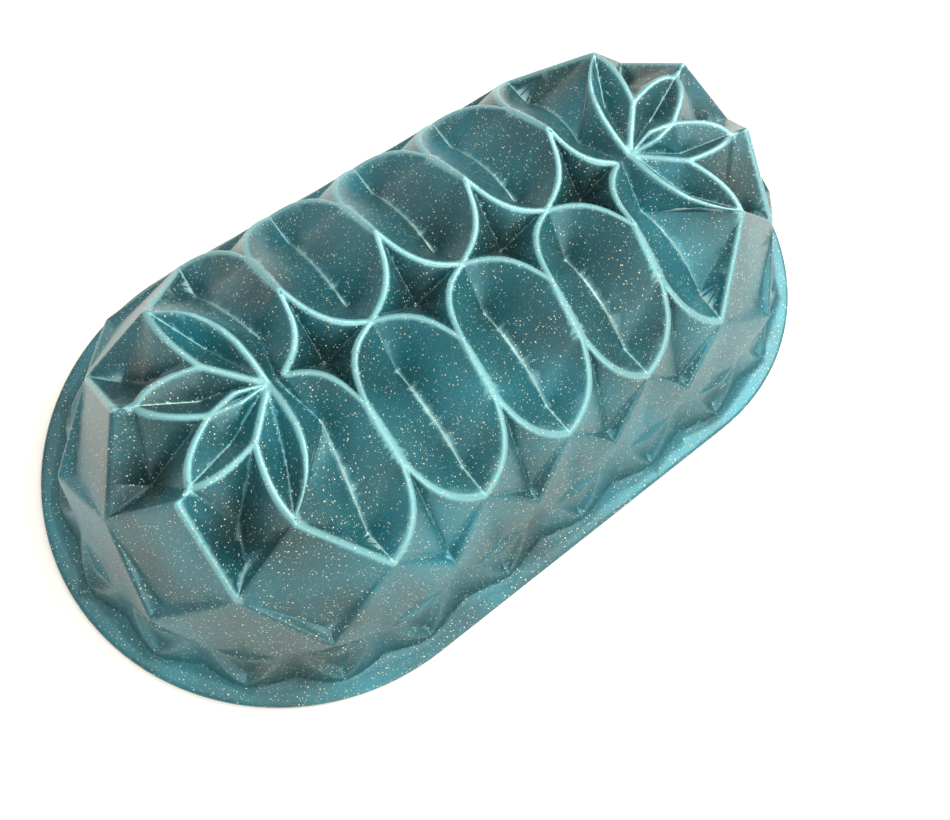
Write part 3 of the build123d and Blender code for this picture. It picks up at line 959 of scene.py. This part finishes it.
def coat_material(name, flake_share, rib_share):
    """Sprayed metallic enamel with grit: teal with a satin sheen, paler where it thins over a ridge, with a
    painted highlight on the ridges and along the grooves and painted shade in the deep hollows.
    """
    material, tree, surface = new_material(name)
    colours = bpy.context.scene.pan_colours
    place = add_node(tree, "ShaderNodeTexCoord").outputs["Object"]

    # Cloudy thickness of the spray, 36 mm across
    clouds = add_node(tree, "ShaderNodeTexNoise", {"Scale": 28.0, "Detail": 3.0}, {"Vector": place})
    cloud = stretched(tree, clouds.outputs[0], 0.3, 0.7)
    base = mix_colour(tree, cloud, list(colours.coat) + [1.0], linear(THICK_SPRAY))

    # Painted shade: the coat is darker towards the bottom of the deep stars and pits
    hollow_shade = add_node(tree, "ShaderNodeAttribute", attribute_name="hollow_shade").outputs["Fac"]
    base = mix_colour(tree, product(tree, hollow_shade, 0.75), base, linear(PAINTED_HOLLOW_SHADE))

    # Rounded ribs get a paler, thinner coat and a painted highlight, and the bottom of a groove gets a
    # painted highlight line
    rib = add_node(tree, "ShaderNodeAttribute", attribute_name="rib").outputs["Fac"]
    groove_closeness = add_node(tree, "ShaderNodeAttribute", attribute_name="line").outputs["Fac"]
    rib_highlight_and_thin_coat = stretched(tree, rib, 0.04, 0.55, 0.0, rib_share)
    base = mix_colour(tree, rib_highlight_and_thin_coat, base, linear(PAINTED_RIB_HIGHLIGHT_AND_THIN_SPRAY))
    # Painted highlight line along the bottom of a groove
    groove_highlight = stretched(tree, groove_closeness, 0.6, 1.0, 0.0, 0.75 * rib_share)
    base = mix_colour(tree, groove_highlight, base, linear(PAINTED_GROOVE_HIGHLIGHT))

    # Grit of 0.3 to 0.5 mm, made ragged by a small shift of the place that each spot is looked up at. The
    # real grit is a little finer, and is drawn as coarse as it needs to show.
    ragged = add_node(tree, "ShaderNodeTexNoise", {"Scale": 1800.0, "Detail": 1.0}, {"Vector": place})
    shift = add_node(
        tree, "ShaderNodeVectorMath", {1: (0.5, 0.5, 0.5)}, {0: ragged.outputs["Color"]},
        operation="SUBTRACT",
    )
    small = add_node(
        tree, "ShaderNodeVectorMath", {"Scale": 0.0007}, {0: shift.outputs[0]}, operation="SCALE"
    )
    jittered = add_node(
        tree, "ShaderNodeVectorMath", links={0: place, 1: small.outputs[0]}, operation="ADD"
    )
    spot = jittered.outputs[0]
    dust = flakes(tree, spot, 0.0006, 0.00015, flake_share)
    dark = flakes(tree, spot, 0.0011, 0.00024, 0.8 * flake_share)
    cream = flakes(tree, spot, 0.0009, 0.00023, flake_share)
    base = mix_colour(tree, product(tree, dust, 0.6), base, linear(DUST))
    base = mix_colour(tree, product(tree, dark, 0.8), base, linear(DARK_GRIT))
    base = mix_colour(tree, product(tree, cream, 0.9), base, linear(CREAM_GRIT))
    tree.links.new(base, surface.inputs["Base Color"])

    # Clear topcoat, satin: a pale sheen over everything that faces a light
    surface.inputs["Coat Weight"].default_value = 0.35
    surface.inputs["Coat Roughness"].default_value = 0.4

    # The grit is dull, the enamel between it has a metallic sheen
    metal = add_node(tree, "ShaderNodeMath", {0: 1.0}, {1: cream}, operation="SUBTRACT")
    metallic = product(tree, metal.outputs[0], stretched(tree, rib, 0.1, 0.8, 0.45, 0.35))
    tree.links.new(metallic, surface.inputs["Metallic"])
    tree.links.new(stretched(tree, clouds.outputs[0], 0.2, 0.8, 0.34, 0.42), surface.inputs["Roughness"])

    # Orange peel of the spray, 1.3 mm across, and the grit standing proud
    peel = add_node(tree, "ShaderNodeTexNoise", {"Scale": 750.0, "Detail": 2.0}, {"Vector": place})
    height = add_node(
        tree, "ShaderNodeMath", links={0: cream, 1: cream, 2: peel.outputs[0]}, operation="MULTIPLY_ADD"
    )
    bump = add_node(
        tree, "ShaderNodeBump", {"Strength": 0.22, "Distance": 0.00012}, {"Height": height.outputs[0]}
    )
    tree.links.new(bump.outputs[0], surface.inputs["Normal"])
    return material


def casting_material():
    """Sand-blasted cast aluminium: even pale grey metal with a soft, grainy shine."""
    material, tree, surface = new_material("blasted_cast_aluminium")

    # Grain of the blasting, 0.7 mm across
    place = add_node(tree, "ShaderNodeTexCoord").outputs["Object"]
    grain = add_node(tree, "ShaderNodeTexNoise", {"Scale": 1400.0, "Detail": 3.0}, {"Vector": place})
    surface.inputs["Base Color"].default_value = linear(BARE_ALUMINIUM)
    surface.inputs["Metallic"].default_value = 1.0
    tree.links.new(stretched(tree, grain.outputs[0], 0.2, 0.8, 0.42, 0.6), surface.inputs["Roughness"])
    bump = add_node(
        tree, "ShaderNodeBump", {"Strength": 0.3, "Distance": 0.0001}, {"Height": grain.outputs[0]}
    )
    tree.links.new(bump.outputs[0], surface.inputs["Normal"])
    return material


def join_frame(shape, node):
    """Let a finished piece ride the pan's body in place of its CAD node."""
    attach(shape, "root")
    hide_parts(node)


def outer_rim(sizes):
    """Rows of the outer coat from the wall's foot over the flange's rounded edge, down to the table."""
    edge = sizes.flange_out / MM
    rows = []
    for step in range(EDGE_STEPS + 1):
        angle = math.radians(90 - 90 / EDGE_STEPS * step)
        rows.append((
            edge - FLANGE_ROUND + FLANGE_ROUND * math.cos(angle),
            FLANGE_THICKNESS - FLANGE_ROUND + FLANGE_ROUND * math.sin(angle),
        ))
    return rows + [(edge, 0)]


class PAN_OT_outer_coat(bpy.types.Operator):
    """Build the speckled coat outside the pan"""

    bl_idname = "pan.outer_coat"
    bl_label = "Outer coat"

    def execute(self, context):
        sizes = context.scene.pan_sizes
        finish = coat_material("speckled_metallic_enamel", 0.5, 0.62)
        shape = skin("outer_coat", 0.0, outer_rim(sizes), sizes.outer_ridge / MM, finish, True)
        thicken(shape, sizes.coat)
        join_frame(shape, "outer_coating")
        return {"FINISHED"}


class PAN_OT_inner_coat(bpy.types.Operator):
    """Build the non-stick coat in the cavity and under the rim"""

    bl_idname = "pan.inner_coat"
    bl_label = "Inner coat"

    def execute(self, context):
        sizes = context.scene.pan_sizes
        finish = coat_material("sprayed_non_stick", 0.12, 0.1)
        rim = [(None, 0), ((sizes.flange_out - RIM_COAT_IN) / MM, 0)]
        shape = skin("inner_coat", sizes.wall / MM, rim, sizes.inner_ridge / MM, finish, False)
        thicken(shape, sizes.coat)
        join_frame(shape, "inner_coating")
        return {"FINISHED"}


class PAN_OT_casting(bpy.types.Operator):
    """Build the casting that the coats cover"""

    bl_idname = "pan.casting"
    bl_label = "Casting"

    def execute(self, context):
        sizes = context.scene.pan_sizes
        rim = [(None, CORE_LEVEL), (sizes.flange_out / MM - 1, CORE_LEVEL)]
        mesh = whole_facets(Relief(sizes, CORE_INSET, rim), True)
        bmesh.ops.scale(mesh, verts=mesh.verts, vec=(MM, MM, MM))
        shape = new_object("casting", mesh)
        shape.data.materials.append(casting_material())
        thicken(shape, CORE_THICKNESS * MM)
        join_frame(shape, "cast_body")
        return {"FINISHED"}


class PAN_OT_studio(bpy.types.Operator):
    """Build the floor, the soft lights, the white surround and the camera"""

    bl_idname = "pan.studio"
    bl_label = "Studio"

    def execute(self, context):
        floor_mesh = bmesh.new()
        level = Matrix.Translation((0, 0, -FLOOR_GAP))
        bmesh.ops.create_grid(floor_mesh, x_segments=1, y_segments=1, size=FLOOR_HALF, matrix=level)
        floor = new_object("floor", floor_mesh)

        # Rolled matt paint: an even white without a shine
        material, tree, surface = new_material("rolled_matt_paint")
        surface.inputs["Base Color"].default_value = linear(FLOOR_WHITE)
        surface.inputs["Roughness"].default_value = 0.9
        floor.data.materials.append(material)

        for name, place, size, power in LAMPS:
            lamp = bpy.data.lights.new(name, "AREA")
            lamp.size = size
            lamp.energy = power
            lamp.color = LAMP_COLOUR
            light = bpy.data.objects.new(name, lamp)
            turn = Vector(place).to_track_quat("Z", "Y").to_matrix().to_4x4()
            light.matrix_world = Matrix.Translation(place) @ turn
            context.collection.objects.link(light)

        # White for the camera and for what gloss and glass show, and a dim warm room for the rest
        world = bpy.data.worlds.new("white_surround")
        context.scene.world = world
        world.use_nodes = True
        tree = world.node_tree
        ray = add_node(tree, "ShaderNodeLightPath").outputs
        shown = ray["Is Camera Ray"]
        for kind in ("Is Glossy Ray", "Is Transmission Ray"):
            either = add_node(tree, "ShaderNodeMath", links={0: shown, 1: ray[kind]}, operation="MAXIMUM")
            shown = either.outputs[0]
        white = add_node(tree, "ShaderNodeBackground", {"Color": (1, 1, 1, 1), "Strength": 1.0})
        room = add_node(tree, "ShaderNodeBackground", {"Color": ROOM_COLOUR, "Strength": ROOM_LIGHT})
        both = add_node(
            tree, "ShaderNodeMixShader", links={0: shown, 1: room.outputs[0], 2: white.outputs[0]}
        )
        tree.links.new(both.outputs[0], tree.nodes["World Output"].inputs["Surface"])

        lens = bpy.data.cameras.new("photo_camera")
        lens.lens = CAMERA_LENS
        lens.sensor_width = 36.0
        lens.sensor_fit = "HORIZONTAL"
        lens.clip_start = 0.01
        camera = bpy.data.objects.new("photo_camera", lens)
        turn = Matrix(CAMERA_AXES).transposed().to_4x4()
        camera.matrix_world = Matrix.Translation(CAMERA_PLACE) @ turn
        context.collection.objects.link(camera)
        context.scene.camera = camera
        context.scene.view_settings.view_transform = "Standard"
        return {"FINISHED"}


class PAN_PT_panel(bpy.types.Panel):
    """Buttons that build the pan"""

    bl_label = "Cake pan"
    bl_idname = "PAN_PT_panel"
    bl_space_type = "VIEW_3D"
    bl_region_type = "UI"
    bl_category = "Cake pan"

    def draw(self, context):
        for group in (context.scene.pan_sizes, context.scene.pan_colours):
            for key in group.bl_rna.properties.keys():
                if key not in ("rna_type", "name"):
                    self.layout.prop(group, key)
        for operator in OPERATORS:
            self.layout.operator(operator.bl_idname)


OPERATORS = (PAN_OT_outer_coat, PAN_OT_inner_coat, PAN_OT_casting, PAN_OT_studio)
CLASSES = (PanSizes, PanColours) + OPERATORS + (PAN_PT_panel,)


def register():
    for cls in CLASSES:
        bpy.utils.register_class(cls)
    bpy.types.Scene.pan_sizes = bpy.props.PointerProperty(type=PanSizes)
    bpy.types.Scene.pan_colours = bpy.props.PointerProperty(type=PanColours)


def unregister():
    del bpy.types.Scene.pan_colours
    del bpy.types.Scene.pan_sizes
    for cls in reversed(CLASSES):
        bpy.utils.unregister_class(cls)


def main():
    register()
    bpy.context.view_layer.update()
    bpy.ops.pan.outer_coat()
    bpy.ops.pan.inner_coat()
    bpy.ops.pan.casting()
    bpy.ops.pan.studio()


if __name__ == "__main__":
    main()
